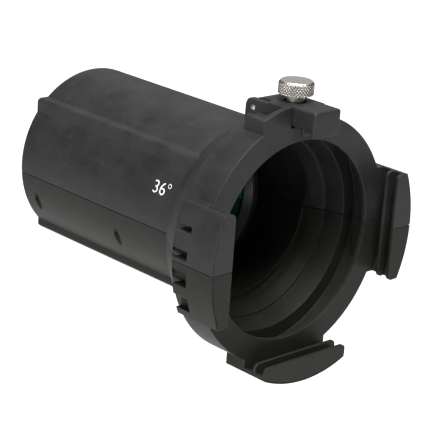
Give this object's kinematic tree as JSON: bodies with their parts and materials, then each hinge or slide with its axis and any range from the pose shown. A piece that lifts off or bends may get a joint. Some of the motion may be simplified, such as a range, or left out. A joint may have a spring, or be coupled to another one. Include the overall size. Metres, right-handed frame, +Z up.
{
  "type": "ellipsoidal spotlight lens tube",
  "caption": "Front lens tube of an ellipsoidal spotlight: black two-part moulded tube with coated lens, accessory frame slots and a hinged retaining latch with thumb screw.",
  "frame": {"origin": "centre of the ring's front face on the optical axis, where the first accessory frame rests", "axes": "+Z up, through the thumb screw; +Y along the optical axis towards the lamp, so light leaves towards -Y; +X to the right seen from the front"},
  "size_m": [0.109, 0.1367, 0.117],
  "materials": {
    "moulded_black": "fine moulded grain, satin",
    "black_rubber": "matt",
    "steel": "bright",
    "nickel": "nickel plated, diamond knurl",
    "brass": "plain",
    "black_metal": "black anodised",
    "coated_glass": "anti-reflection coated",
    "silicone": "matt",
    "dark_steel": "blackened"
  },
  "bodies": {
    "root": {"upper_shell": "moulded_black", "lower_shell": "moulded_black", "latch_hinge_pin": "steel", "latch_insert": "brass", "lens_cell": "black_metal", "front_lens": "coated_glass", "rear_lens": "coated_glass", "front_retaining_ring": "black_metal", "front_cushion_ring": "silicone", "rear_cushion_ring": "silicone", "lens_spacer": "black_metal", "rear_light_baffle": "black_metal", "baffle_screws": "steel", "shell_screws": "dark_steel", "shell_screw_inserts": "brass"},
    "latch": {"retaining_latch": "moulded_black", "latch_pads": "black_rubber", "thumb_screw_washer": "steel"},
    "clip": {"captive_clip": "steel"},
    "screw": {"thumb_screw": "nickel"}
  },
  "joints": [
    {"name": "latch_hinge", "type": "hinge", "parent": "root", "child": "latch", "pos_m": [0, 0.0183, 0.0502], "axis": [-1, 0, 0], "range_deg": [0, 100]},
    {"name": "screw_lift", "type": "slide", "parent": "latch", "child": "clip", "axis": [0, 0, 1], "range_m": [-0.0025, 0]},
    {"name": "screw_turn", "type": "hinge", "parent": "clip", "child": "screw", "pos_m": [0, 0.006, 0.055], "axis": [0, 0, 1], "range_deg": [-1286, 0]}
  ],
  "couplings": [
    {"joint": "screw_turn", "follows": "screw_lift", "rad_per_m": 8976}
  ]
}
